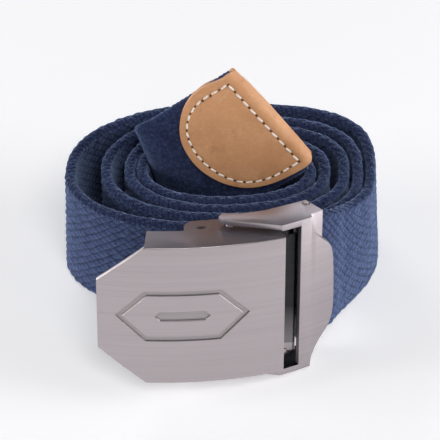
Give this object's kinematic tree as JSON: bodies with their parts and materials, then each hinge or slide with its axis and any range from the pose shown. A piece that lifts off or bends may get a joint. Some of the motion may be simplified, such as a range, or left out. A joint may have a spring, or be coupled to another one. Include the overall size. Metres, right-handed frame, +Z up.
{
  "type": "webbing belt",
  "caption": "Woven belt coiled on its edge, with a hinged metal plate buckle at its outer end and a leather-capped free end rising from the middle.",
  "frame": {"origin": "bottom centre of the bounding box, on the surface the coil stands on", "axes": "+Z up, +X to the buckle's strap end, -Y out of the buckle's face"},
  "size_m": [0.09, 0.0806, 0.071],
  "materials": {
    "webbing": "matt coarse weave",
    "tip_leather": "matt smooth leather",
    "brushed_nickel": "brushed satin nickel",
    "dark_steel": "dark polished"
  },
  "bodies": {
    "strap_side": {"strap_webbing": "webbing", "leather_tip": "tip_leather", "end_frame": "brushed_nickel", "hinge_pin": "brushed_nickel", "hinge_spring": "brushed_nickel", "clamp_bar": "brushed_nickel"},
    "cover": {"cover_plate": "brushed_nickel", "cam_bar": "dark_steel"}
  },
  "joints": [
    {"name": "cover_hinge", "type": "hinge", "parent": "strap_side", "child": "cover", "pos_m": [0.00185, -0.02286, 0.02535], "axis": [0.0026, 0.26, 0.9656], "range_deg": [-6, 14]}
  ]
}
